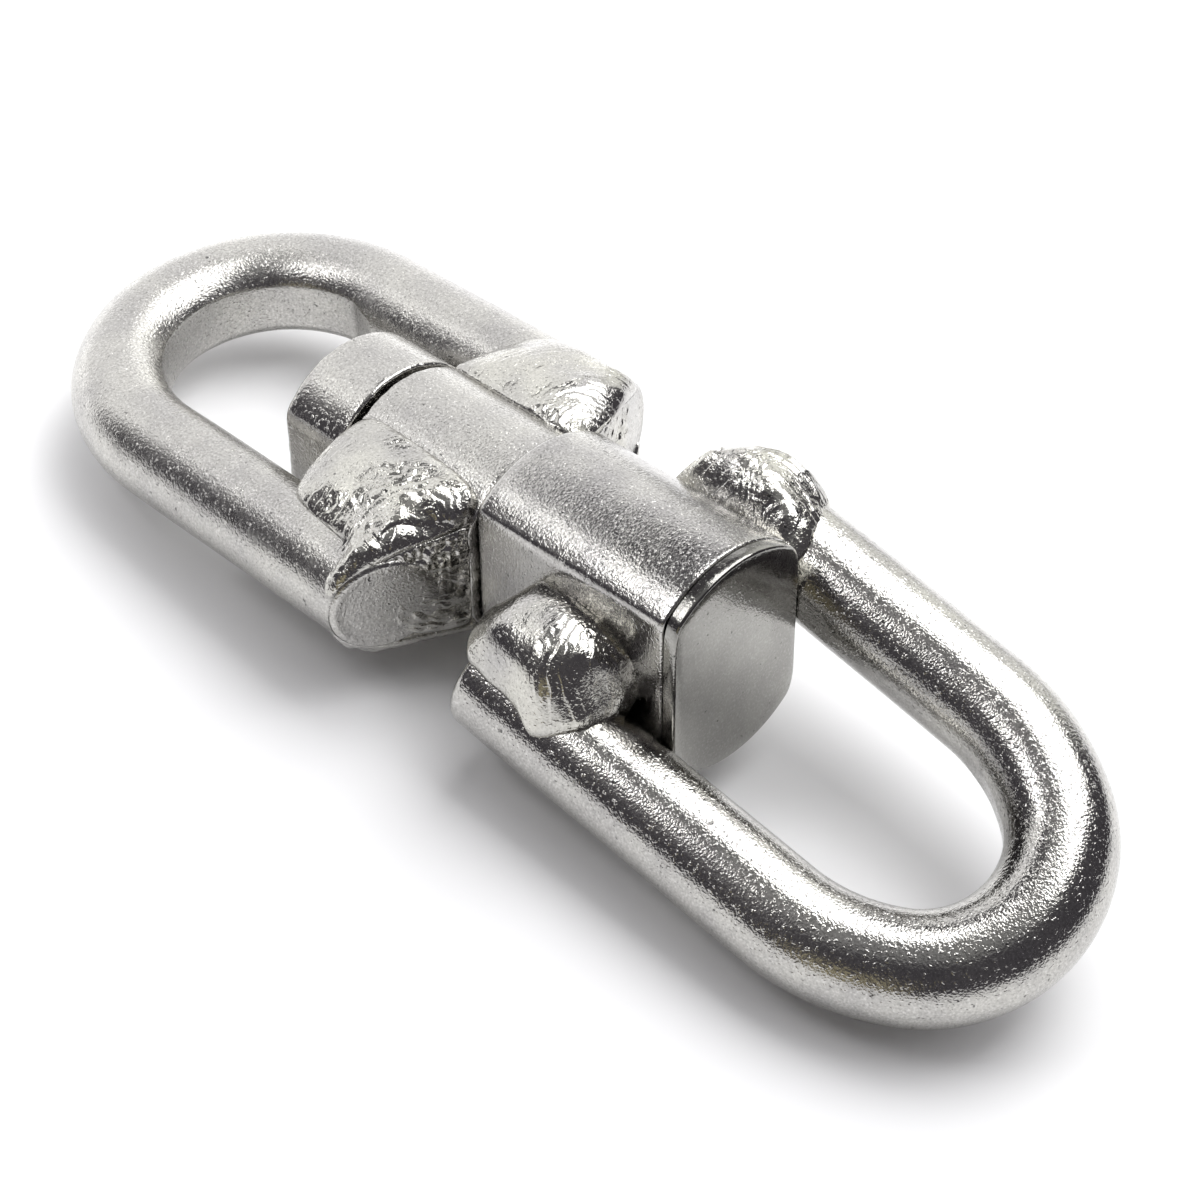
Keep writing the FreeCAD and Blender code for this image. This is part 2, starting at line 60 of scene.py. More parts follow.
MM = 0.001
JOINT_X = -16.0                      # the joint's place along the pin, in the swivel frame
swivel = frame["record"]["behaviour"]["joints"][0]
AXIS = np.array(swivel["axis"], float) / np.linalg.norm(swivel["axis"])
ACROSS = np.array((0.0, 1.0, 0.0))
UP = np.cross(AXIS, ACROSS)
ORIGIN = np.array(swivel["pos_m"], float) - JOINT_X * MM * AXIS
TURNING, FIXED = swivel["child"], swivel["parent"]

BAR = 8.0                            # radius of the bows' bar
BORE = 8.05                          # radius of the hubs' and the collar's bores
SHANK = 8.0                          # radius of the pin's shank


def to_row(points):
    """Swivel-frame millimetres to row-frame metres."""
    p = np.asarray(points, float) * MM
    return ORIGIN + p[:, :1] * AXIS + p[:, 1:2] * ACROSS + p[:, 2:3] * UP


def waves(points, seed, size, count=14):
    """Smooth irregular values, about -1 to 1, with features of the given size in mm."""
    rng = np.random.default_rng(seed)
    turn = rng.normal(size=(count, points.shape[1]))
    turn /= np.linalg.norm(turn, axis=1)[:, None]
    pitch = size * rng.uniform(0.7, 1.8, count)
    phase = rng.uniform(0, 2 * np.pi, count)
    total = np.zeros(len(points))
    for direction, length, shift in zip(turn, pitch, phase):
        total += np.sin(points @ direction * (2 * np.pi / length) + shift)
    return total / math.sqrt(count)


def link(name, data):
    """Make an object and put it in the scene."""
    made = bpy.data.objects.new(name, data)
    bpy.context.scene.collection.objects.link(made)
    return made


def piece(name, points, faces, body, stands_for, material, sharp=34.0):
    """Make a mesh piece that rides on a body and stands for a CAD node.

    Edges between faces that differ by more than sharp degrees are shaded as edges.
    """
    corners = np.array([(face[0], face[i], face[i + 1]) for face in faces
                        for i in range(1, len(face) - 1)])
    a, b, c = (points[corners[:, i]] for i in range(3))
    if (np.cross(a, b) * c).sum() < 0:
        faces = [face[::-1] for face in faces]
    mesh = bpy.data.meshes.new(name)
    mesh.from_pydata(to_row(points).tolist(), [], faces)
    mesh.update()
    mesh.validate()
    for polygon in mesh.polygons:
        polygon.use_smooth = True
    mesh.set_sharp_from_angle(angle=math.radians(sharp))
    made = link(name, mesh)
    mesh.materials.append(material)
    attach(made, body)
    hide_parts(stands_for)
    return made


def ring_faces(rings, count, closed):
    """Quads between rings of count points; the last ring joins the first if closed."""
    last = rings if closed else rings - 1
    one = np.arange(count)
    two = (one + 1) % count
    quads = []
    for ring in range(last):
        a, b = ring * count, ((ring + 1) % rings) * count
        quads.append(np.stack([a + one, a + two, b + two, b + one], axis=1))
    return np.concatenate(quads).tolist()


def fan(ring_start, count, tip, outward):
    """Triangles from one ring to a single tip point; outward is the way they wind."""
    one = np.arange(count)
    two = (one + 1) % count
    order = (one, two) if outward else (two, one)
    return np.stack([ring_start + order[0], ring_start + order[1],
                     np.full(count, tip)], axis=1).tolist()


# ---------------------------------------------------------------- materials

# Sizes of the steel's features in mm, and the noise levels between which each one grows.
TONE_SIZE, TONE = 9.0, (0.35, 0.65)
# The base colour darkens the grain's hollows and the pits and lightens the grain's crests:
# painted shade and painted glints for how the fine surface catches light.
HOLLOW, HOLLOW_PAINTED_SHADE = (0.30, 0.50), 0.25
CREST, CREST_PAINTED_GLINT = (0.56, 0.70), (0.95, 0.94, 0.92)
DOT_SIZE, DOT = 0.55, (0.58, 0.76)
PIT_SIZE, PIT, PIT_PAINTED_SHADE = 1.1, (0.73, 0.80), 0.3
PIT_WALL, PIT_DEPTH = (0.72, 0.80), 0.03
SHEEN_SIZE, SHEEN = 3.0, (0.3, 0.7)
PEEL_SIZE = 2.6
SCRATCH_SIZE = 0.5


def add(tree, kind, **inputs):
    """Add a node; words are its input sockets or its own settings."""
    made = tree.nodes.new(kind)
    for key, value in inputs.items():
        if key in made.inputs:
            if isinstance(value, bpy.types.NodeSocket):
                tree.links.new(value, made.inputs[key])
            else:
                made.inputs[key].default_value = value
        else:
            setattr(made, key, value)
    return made


def noise(tree, where, size_mm, detail=2.0, rough=0.5, stretch=None):
    """Noise with features of about size_mm; stretch lengthens them along x, y or z."""
    vector = where
    if stretch:
        mapped = add(tree, "ShaderNodeMapping", vector_type="POINT")
        tree.links.new(where, mapped.inputs["Vector"])
        mapped.inputs["Scale"].default_value = tuple(1 / s for s in stretch)
        vector = mapped.outputs["Vector"]
    made = add(tree, "ShaderNodeTexNoise", Scale=1000.0 / size_mm, Detail=detail,
               Roughness=rough)
    tree.links.new(vector, made.inputs["Vector"])
    return made.outputs["Fac"]


def spread(tree, value, low, high, to_low=0.0, to_high=1.0):
    """Map low..high to to_low..to_high, held at both ends."""
    made = add(tree, "ShaderNodeMapRange", clamp=True)
    tree.links.new(value, made.inputs["Value"])
    for key, number in (("From Min", low), ("From Max", high), ("To Min", to_low),
                        ("To Max", to_high)):
        made.inputs[key].default_value = number
    return made.outputs["Result"]


def mix(tree, share, one, two):
    """Blend two colours, or the colours of two sockets."""
    made = add(tree, "ShaderNodeMix", data_type="RGBA")
    tree.links.new(share, made.inputs[0])
    for index, value in ((6, one), (7, two)):
        if isinstance(value, bpy.types.NodeSocket):
            tree.links.new(value, made.inputs[index])
        else:
            made.inputs[index].default_value = (*value, 1.0)
    return made.outputs[2]


def bump(tree, height, depth_mm, before=None):
    """A normal tilted by height, on top of the one before it."""
    made = add(tree, "ShaderNodeBump", Strength=1.0, Distance=depth_mm * MM)
    tree.links.new(height, made.inputs["Height"])
    if before is not None:
        tree.links.new(before, made.inputs["Normal"])
    return made.outputs["Normal"]


def steel(name, tint=(0.56, 0.55, 0.52), shade=(0.47, 0.46, 0.445), rough=(0.12, 0.22),
          grain=0.07, grain_size=0.36, peel=0.03, sparkle=0.05, speck=0.3, scratches=None):
    """Stainless steel: grain, orange peel, sparkling pits and optional scratches; painted shade
    darkens the grain's hollows and the pits, and painted glints lighten the grain's crests.

    rough is the lowest and highest roughness. grain, peel and sparkle are bump depths and
    grain_size is the grain's width, all in mm. speck is how strong the painted shade in the
    grain's hollows and the painted glints on its crests are. scratches holds a depth and a
    stretch along each axis.
    """
    material = bpy.data.materials.new(name)
    material.use_nodes = True
    tree = material.node_tree
    shader = tree.nodes["Principled BSDF"]
    where = add(tree, "ShaderNodeTexCoord").outputs["Object"]
    tone = spread(tree, noise(tree, where, TONE_SIZE, detail=3.0), *TONE)
    colour = mix(tree, tone, shade, tint)
    fine = noise(tree, where, grain_size, detail=1.5)
    dots = noise(tree, where, DOT_SIZE, detail=1.0)
    # Painted shade in the grain's hollows, then painted glints on its crests.
    hollow_shade_mask = spread(tree, fine, *HOLLOW, speck, 0.0)
    colour = mix(tree, hollow_shade_mask, colour, tuple(HOLLOW_PAINTED_SHADE * c for c in shade))
    crest_glint_mask = spread(tree, fine, *CREST, 0.0, speck)
    colour = mix(tree, crest_glint_mask, colour, CREST_PAINTED_GLINT)
    spots = noise(tree, where, PIT_SIZE, detail=1.0)
    # Painted shade in the sunken pits.
    pit_shade_mask = spread(tree, spots, *PIT)
    colour = mix(tree, pit_shade_mask, colour, tuple(PIT_PAINTED_SHADE * c for c in shade))
    tree.links.new(colour, shader.inputs["Base Color"])
    shader.inputs["Metallic"].default_value = 1.0
    sheen = noise(tree, where, SHEEN_SIZE, detail=4.0, rough=0.6)
    tree.links.new(spread(tree, sheen, *SHEEN, *rough), shader.inputs["Roughness"])
    normal = bump(tree, noise(tree, where, PEEL_SIZE, detail=2.0), peel)
    normal = bump(tree, fine, grain, normal)
    normal = bump(tree, spread(tree, dots, *DOT), sparkle, normal)
    normal = bump(tree, spread(tree, spots, *PIT_WALL, 1.0, 0.0), PIT_DEPTH, normal)
    if scratches:
        depth, stretch = scratches
        lines = noise(tree, where, SCRATCH_SIZE, detail=2.0, stretch=stretch)
        normal = bump(tree, lines, depth, normal)
    tree.links.new(normal, shader.inputs["Normal"])
    return material


LARGE_BAR = steel("large_bar_steel", rough=(0.08, 0.16), grain=0.06)
SMALL_BAR = steel("small_bar_steel", rough=(0.20, 0.30), grain=0.07)
# The large hub's steel is a little darker than the bows' steel: painted shade, standing in for
# the shadowed floor mirrored in its flats.
LARGE_HUB_SHADED_STEEL = steel("hub_steel", tint=(0.54, 0.53, 0.505), shade=(0.44, 0.43, 0.42),
            rough=(0.10, 0.20), grain=0.035, grain_size=0.34, sparkle=0.04, speck=0.30,
            scratches=(0.035, (1, 1, 7)))
HUB_SMALL = steel("small_hub_steel", rough=(0.12, 0.22), grain=0.055)
# The pin's steel is much darker than the other parts' steel: painted shade, standing in for the
# shadowed floor and bow mirrored in its head.
PIN_SHADED_STEEL = steel("pin_steel", tint=(0.35, 0.345, 0.325), shade=(0.28, 0.275, 0.26),
            rough=(0.10, 0.18), grain=0.02, peel=0.02, sparkle=0.015, speck=0.1)
COLLAR = steel("collar_steel", rough=(0.10, 0.20), grain=0.05)
WELD = steel("weld_metal", tint=(0.62, 0.61, 0.56), rough=(0.08, 0.18), grain=0.05,
             peel=0.04, speck=0.22)


# ---------------------------------------------------------------- bows

# way is the side of the swivel the bow points to. gap and gap_end are from the middle to a
# leg's centre at the bend and at the leg's end; side_r and tip_r are the bend's two radii.
# roll, pitch, yaw, drop and pivot say how the bow sits on its hub. flat is how much the
# bend's inside is flattened, from flat_from mm on, and dip is how uneven the bar is.
BOWS = {
    "large": dict(way=1, gap=20.9, gap_end=21.9, leg_end=-4.0, bend=50.5, side_r=33.0,
                  tip_r=18.6, roll=19.8, pitch=11.6, yaw=0.8, drop=1.8, pivot=8.0,
                  flat=0.5, flat_from=60.0, seed=11, dip_size=26.0, dip=0.10),
    "small": dict(way=-1, gap=24.1, gap_end=24.7, leg_end=-16.2, bend=-72.6, side_r=26.0,
                  tip_r=23.6, roll=3.6, pitch=0.7, yaw=0.65, drop=-0.35, pivot=-24.0,
                  flat=1.1, flat_from=52.0, seed=12, dip_size=22.0, dip=0.14),
}
AROUND = 128                          # points round the bar
ALONG = 0.6                           # spacing of its rings
CAP_SHARES = (0.8, 0.5, 0.2)          # sizes of the rings that close a leg's end
FLAT_RUN_IN = 6.0                     # length over which the flat in the bend begins

# The large bow's leg ends, near and far: which end of the line, the way inwards along it,
# how much the leg is shortened, and the end's rounding.
LARGE_ENDS = ((0, 1, 0.0, 1.5), (-1, -1, 2.6, 5.0))
LARGE_END_GAP = 0.4                   # from the rounding to the next ring
SEAT, SEAT_END = 12.66, 29.0          # half the distance between the milled seats; their end

# The small bow's leg ends, cut on a bevel in degrees that passes through a point.
BEVEL, BEVEL_X, BEVEL_Y = 22.0, -16.2, 12.9
SMALL_END_ROUNDING, SMALL_END_STEPS = 1.1, 6
SMALL_END_FIRST, SMALL_END_REACH = 1.6, 16.0     # rings sheared towards the bevel


def as_welded(bow, points):
    """Turn points from the bow's flat plane to where the bow sits on its hub."""
    turn = (Matrix.Rotation(math.radians(bow["yaw"]), 3, "Z")
            @ Matrix.Rotation(math.radians(bow["pitch"]), 3, "Y")
            @ Matrix.Rotation(math.radians(bow["roll"]), 3, "X"))
    pivot = np.array((bow["pivot"], 0, 0))
    return (points - pivot) @ np.array(turn).T + pivot - np.array((0, 0, bow["drop"]))


def bow_line(bow):
    """Centre line of a bow in its own plane: points and directions, near leg first."""
    way, bend = bow["way"], bow["bend"]
    over = bow["side_r"] - bow["gap"]
    reach = math.sqrt((bow["side_r"] - bow["tip_r"]) ** 2 - over**2)
    knuckle = math.atan2(over, reach)
    run = abs(bend - bow["leg_end"])
    rise = over + bow["gap_end"]
    lean = math.acos(bow["side_r"] / math.hypot(run, rise)) - math.atan2(run, rise)
    points, ways = [], []

    def arc(centre, radius, first, last):
        steps = max(2, int(radius * (last - first) / ALONG))
        for angle in np.linspace(first, last, steps, endpoint=False):
            points.append((centre[0] + radius * math.cos(angle),
                           centre[1] + radius * math.sin(angle)))
            ways.append((-math.sin(angle), math.cos(angle)))

    foot = (run + bow["side_r"] * math.sin(lean), over - bow["side_r"] * math.cos(lean))
    start = (0.0, -bow["gap_end"])
    steps = int(math.dist(start, foot) / ALONG)
    for share in np.linspace(0, 1, steps, endpoint=False):
        points.append(tuple(a + share * (b - a) for a, b in zip(start, foot)))
        ways.append((math.cos(lean), math.sin(lean)))
    arc((run, over), bow["side_r"], lean - math.pi / 2, -knuckle)
    arc((run + reach, 0.0), bow["tip_r"], -knuckle, 0.0)
    half = len(points)
    points.append((run + reach + bow["tip_r"], 0.0))
    ways.append((0.0, 1.0))
    for index in range(half - 1, -1, -1):
        points.append((points[index][0], -points[index][1]))
        ways.append((-ways[index][0], ways[index][1]))
    line = np.array(points)
    turn = np.array(ways)
    line[:, 0] = bow["leg_end"] + way * line[:, 0]
    turn[:, 0] *= way
    return line, turn


def sweep_bow(bow, trim):
    """Rings of the bar along its line, with the leg ends shaped by trim."""
    line, turn = bow_line(bow)
    out = np.stack([turn[:, 1], -turn[:, 0]], axis=1) * bow["way"]
    angle = np.linspace(0, 2 * np.pi, AROUND, endpoint=False)
    length = np.concatenate([[0], np.cumsum(np.linalg.norm(np.diff(line, axis=0), axis=1))])
    count = len(line)
    rings = np.zeros((count, AROUND, 3))
    for index in range(count):
        side = np.cos(angle)[:, None] * out[index]
        rings[index, :, :2] = line[index] + BAR * side
        rings[index, :, 2] = BAR * np.sin(angle)
    return trim(rings, line, turn, length)


def close_tube(rings):
    """Faces of a run of rings with a fan of smaller rings over each end."""
    points = list(rings)
    for end in (0, -1):
        middle = rings[end].mean(axis=0)
        caps = [middle + (rings[end] - middle) * share for share in CAP_SHARES]
        points = caps[::-1] + points if end == 0 else points + caps
    count = rings.shape[1]
    flat = np.concatenate(points)
    tips = np.array([points[0].mean(axis=0), points[-1].mean(axis=0)])
    faces = ring_faces(len(points), count, False)
    faces += fan(0, count, len(flat), False)
    faces += fan((len(points) - 1) * count, count, len(flat) + 1, True)
    return np.concatenate([flat, tips]), faces


def rounding(radius, steps=7):
    """Depths and insets of a rounded end, from its face inwards."""
    turns = np.linspace(0, math.pi / 2, steps)
    return [(radius * (1 - math.cos(t)), radius * (1 - math.sin(t))) for t in turns]


def trim_large(rings, line, turn, length):
    """Round off the leg ends; the far one is a little shorter and much rounder."""
    total = length[-1]
    ends = []
    for base, sign, start, radius in LARGE_ENDS:
        middle = np.array((*line[base], 0.0))
        run = []
        for depth, inset in rounding(radius):
            ring = middle + (rings[base] - middle) * ((BAR - inset) / BAR)
            ring[:, :2] += sign * (start + depth) * turn[base]
            run.append(ring)
        ends.append((run, start + radius + LARGE_END_GAP))
    keep = [rings[i] for i in range(len(length))
            if ends[0][1] < length[i] < total - ends[1][1]]
    return np.array(ends[0][0] + keep + ends[1][0][::-1])


def small_bevel_limit(points, direction):
    """How far points may go along direction before the small bow's bevelled end plane."""
    slope = math.tan(math.radians(BEVEL))
    limit = BEVEL_X - (np.abs(points[:, 1]) - BEVEL_Y) * slope
    grow = direction[0] + np.sign(points[:, 1]) * slope * direction[1]
    return (limit - points[:, 0]) / grow


def trim_small(rings, line, turn, length):
    """Cut the leg ends on the bevel and shear the rings behind them to meet it."""
    total = length[-1]
    ends = []
    for base, sign in ((0, 1), (-1, -1)):
        back = sign * turn[base]
        stop = small_bevel_limit(rings[base], -back)
        middle = np.array((*line[base], 0.0))
        run = []
        for depth, inset in rounding(SMALL_END_ROUNDING, SMALL_END_STEPS):
            ring = middle + (rings[base] - middle) * ((BAR - inset) / BAR)
            ring[:, :2] -= (stop - depth)[:, None] * back
            run.append(ring)
        for depth in np.arange(SMALL_END_FIRST, SMALL_END_REACH, ALONG):
            ring = rings[base].copy()
            share = 1 - depth / SMALL_END_REACH
            ring[:, :2] -= (stop * share - depth)[:, None] * back
            run.append(ring)
        ends.append(run)
    keep = [rings[i] for i in range(len(length))
            if SMALL_END_REACH < length[i] < total - SMALL_END_REACH]
    return np.array(ends[0] + keep + ends[1][::-1])


def flatten_inside(rings, bow):
    """Flatten the inside of the bend, where it was pressed round its former."""
    middle = rings.mean(axis=1)
    from_end = np.abs(middle[:, 0] - bow["leg_end"])
    bent = np.clip((from_end - bow["flat_from"]) / FLAT_RUN_IN, 0, 1)
    for index in range(len(rings)):
        if bent[index] <= 0:
            continue
        inward = np.array((bow["bend"], 0, 0)) - middle[index]
        inward[2] = 0
        inward /= np.linalg.norm(inward)
        away = (rings[index] - middle[index]) @ inward
        past = np.clip(away - (BAR - bow["flat"] * bent[index]), 0, None)
        rings[index] -= past[:, None] * inward
    return rings


def roughen(points, seed, size, depth):
    """Uneven surface: a little below the drawn one, never above it."""
    return -depth * (0.5 + 0.5 * np.clip(waves(points, seed, size), -1, 1))


def bow_mesh(bow, trim):
    """Points and faces of one bow, flattened in its bend and slightly uneven."""
    rings = flatten_inside(sweep_bow(bow, trim), bow)
    middles = rings.mean(axis=1, keepdims=True)
    dips = roughen(rings.reshape(-1, 3), bow["seed"], bow["dip_size"], bow["dip"])
    dips = dips.reshape(rings.shape[:2])
    rings = middles + (rings - middles) * (1 + dips[:, :, None] / BAR)
    points, faces = close_tube(rings)
    return as_welded(bow, points), faces


def make_bows():
    """Both bows; the large one has a flat seat on each leg where it meets its hub."""
    points, faces = bow_mesh(BOWS["large"], trim_large)
    seat = (points[:, 0] < SEAT_END) & (np.abs(points[:, 1]) < SEAT)
    points[seat, 1] = np.sign(points[seat, 1]) * SEAT
    piece("large_bow_bar", points, faces, FIXED, "large_bow", LARGE_BAR)
    points, faces = bow_mesh(BOWS["small"], trim_small)
    piece("small_bow_bar", points, faces, TURNING, "small_bow", SMALL_BAR)


# ---------------------------------------------------------------- hubs, pin and collar

ROUND = 360                           # points round a hub
LARGE_ROUND, LARGE_FLAT = 17.7, 12.6  # radius and half distance between flats, large hub
SMALL_ROUND, SMALL_FLAT = 15.25, 12.9              # the same for the small hub and collar
EDGE_WANDER, DIP_SIZE = 2.4, 13.0     # sizes of a broken edge's waves and a round's dips
BORE_EDGE = 0.3                       # chamfer at each end of a bore

PIN_END, PIN_END_EDGE, PIN_END_RADIUS = -54.3, -53.9, 7.4
NECK, NECK_STEP = (21.4, 21.55), 0.15              # where the shank steps out to the head
HEAD, HEAD_ROUND, HEAD_CORNER = 21.6, 17.66, 2.4
HEAD_STEPS = ((0.0, 0.3), (0.06, 0.12), (0.2, 0.0), (1.0, 0.0), (1.85, 0.0),
              (2.05, 0.06), (2.2, 0.2), (2.3, 0.42))
HEAD_FACE = 23.9
FACE_SHARES = (0.9, 0.75, 0.5, 0.25)  # sizes of the rings that close the head's face


def double_d(radius, half, corner=0.9):
    """Outline of a round with two flats, at even angles; corner rounds where they meet."""
    angle = np.linspace(0, 2 * np.pi, ROUND, endpoint=False)
    flat = half / np.maximum(np.abs(np.cos(angle)), 1e-3)
    gap = np.clip((flat - radius) / corner, -1, 1)
    away = np.minimum(flat, radius) - corner / 4 * (1 - np.abs(gap)) ** 2
    return np.stack([away * np.cos(angle), away * np.sin(angle)], axis=1)


def outline_ring(x, radius, half, ragged=0.0, seed=0, corner=0.9):
    """A ring of the outline at x, which wanders along x by ragged mm."""
    outline = double_d(radius, half, corner)
    ring = np.column_stack([np.full(ROUND, float(x)), outline])
    if ragged:
        ring[:, 0] += ragged * waves(ring, seed, EDGE_WANDER)
    return ring


def round_ring(x, radius):
    """A plain round ring at x."""
    angle = np.linspace(0, 2 * np.pi, ROUND, endpoint=False)
    return np.column_stack([np.full(ROUND, float(x)), radius * np.cos(angle),
                            radius * np.sin(angle)])


def edge_steps(size):
    """Places and insets of a broken edge, from the end face inwards."""
    return [(0.0, size), (0.07 * size, 0.72 * size), (0.35 * size, 0.36 * size),
            (0.72 * size, 0.07 * size), (size, 0.0)]


def sleeve(left, right, radius, half, left_edge, right_edge, ragged=0.0, seed=1):
    """Rings of a bored length of bar with two flats, closed through its bore.

    ragged is how far its broken edges wander, and how deep its outside dips, in mm.
    """
    rings = []
    for place, inset in edge_steps(left_edge):
        wander = ragged if place < left_edge else 0.0
        rings.append(outline_ring(left + place, radius - inset, half - inset, wander, seed))
    for x in np.arange(left + left_edge + 1, right - right_edge - 0.5, 1.0):
        rings.append(outline_ring(x, radius, half))
    for place, inset in edge_steps(right_edge)[::-1]:
        wander = ragged if place < right_edge else 0.0
        rings.append(outline_ring(right - place, radius - inset, half - inset, wander,
                                  seed + 1))
    rings.append(round_ring(right, BORE + BORE_EDGE))
    rings.append(round_ring(right - BORE_EDGE, BORE))
    rings.append(round_ring(left + BORE_EDGE, BORE))
    rings.append(round_ring(left, BORE + BORE_EDGE))
    points = np.concatenate(rings)
    away = np.hypot(points[:, 1], points[:, 2])
    outer = away > BORE + 1.0
    dips = roughen(points[outer], seed + 5, DIP_SIZE, ragged)
    points[outer, 1:] *= (1 + dips / away[outer])[:, None]
    return points, ring_faces(len(rings), ROUND, True)


def make_hubs():
    """The two hubs and the collar on the pin's far end."""
    points, faces = sleeve(-15.5, 21.4, LARGE_ROUND, LARGE_FLAT, 1.7, 0.35)
    piece("large_hub_round", points, faces, FIXED, "large_hub", LARGE_HUB_SHADED_STEEL)
    points, faces = sleeve(-43.0, -16.0, SMALL_ROUND, SMALL_FLAT, 0.55, 0.3, ragged=0.10,
                           seed=31)
    piece("small_hub_round", points, faces, TURNING, "small_hub",
          HUB_SMALL)
    points, faces = sleeve(-56.5, -44.1, SMALL_ROUND, SMALL_FLAT, 0.9, 0.45, ragged=0.06,
                           seed=35)
    piece("collar_round", points, faces, FIXED, "retaining_collar", COLLAR)


def make_pin():
    """The shank, the step under the head and the head with its two flats."""
    rings = [round_ring(PIN_END, PIN_END_RADIUS), round_ring(PIN_END_EDGE, SHANK),
             round_ring(NECK[0], SHANK), round_ring(NECK[1], SHANK + NECK_STEP)]
    for place, inset in HEAD_STEPS:
        rings.append(outline_ring(HEAD + place, HEAD_ROUND - inset, LARGE_FLAT - inset,
                                  corner=HEAD_CORNER))
    face = rings[-1]
    for share in FACE_SHARES:
        rings.append(np.column_stack([face[:, 0], face[:, 1:] * share]))
    flat = np.concatenate(rings)
    faces = ring_faces(len(rings), ROUND, False)
    tips = np.array([(PIN_END, 0, 0), (HEAD_FACE, 0, 0)])
    faces += fan(0, ROUND, len(flat), False)
    faces += fan((len(rings) - 1) * ROUND, ROUND, len(flat) + 1, True)
    piece("pin_and_head", np.concatenate([flat, tips]), faces, FIXED, "swivel_pin",
          PIN_SHADED_STEEL)


# ---------------------------------------------------------------- welds

STIFFNESS = 0.02                      # how far a bead's surface may miss its known points
AT_ONCE = 20000                       # points worked out at a time
TOE_PASSES = 40                       # smoothing passes over a toe line
TOE_STRIDE = 8                        # one toe point in so many shapes the bead
TOE_DROP = 0.25                       # how far a bead's edge lies below its drawn line
TOE_FADE = 0.8                        # distance from the toe over which ripples begin
OPEN_SHARE = 0.6                      # share of a bead where half of its rings lie
MIDDLE_SPAN = 10.0                    # distance from a bead's middle to its toe, about
RIPPLE_CREST = 0.82                   # share of a ripple's length in which it rises


def thin_plate(known, values, places):
    """Smooth surface through values at known places, worked out at other places."""
    def bend(a, b):
        away = ((a[:, None, :] - b[None, :, :]) ** 2).sum(axis=2)
        return 0.5 * away * np.log(np.maximum(away, 1e-9))

    count = len(known)
    system = np.zeros((count + 3, count + 3))
    system[:count, :count] = bend(known, known) + STIFFNESS * np.eye(count)
    system[:count, count] = 1
    system[:count, count + 1:] = known
    system[count, :count] = 1
    system[count + 1:, :count] = known.T
    solved = np.linalg.solve(system, np.concatenate([values, np.zeros(3)]))
    made = solved[count] + places @ solved[count + 1:]
    for start in range(0, len(places), AT_ONCE):
        part = slice(start, start + AT_ONCE)
        made[part] += bend(places[part], known) @ solved[:count]
    return made


def ripples(places, centre, pitch, height, seed, squash=1.0, reach=None):
    """Nested crescents round a centre: each rises slowly and ends in a small step."""
    away = places - np.array(centre)
    far = np.hypot(away[:, 0], away[:, 1] * squash)
    phase = far / pitch + 0.35 * waves(places, seed, 5.0) + 0.12 * waves(places, seed + 1, 1.8)
    step = phase - np.floor(phase)
    rise = np.where(step < RIPPLE_CREST, step / RIPPLE_CREST, (1 - step) / (1 - RIPPLE_CREST))
    strength = 0.55 + 0.45 * waves(places, seed + 2, 6.0)
    if reach:
        strength = strength * np.clip((reach - far) / (0.25 * reach), 0, 1)
    return height * rise**1.5 * np.clip(strength, 0.05, 1.4)


def smooth_toe(toe, around):
    """The closed toe line as evenly spaced points, with its corners rounded."""
    closed = np.concatenate([toe, toe[:1]])
    length = np.concatenate([[0], np.cumsum(
        np.linalg.norm(np.diff(closed[:, :2], axis=0), axis=1))])
    share = np.linspace(0, length[-1], around, endpoint=False)
    border = np.stack([np.interp(share, length, closed[:, i]) for i in range(3)], axis=1)
    for _ in range(TOE_PASSES):
        border = (np.roll(border, 1, 0) + border * 2 + np.roll(border, -1, 0)) / 4
    return border


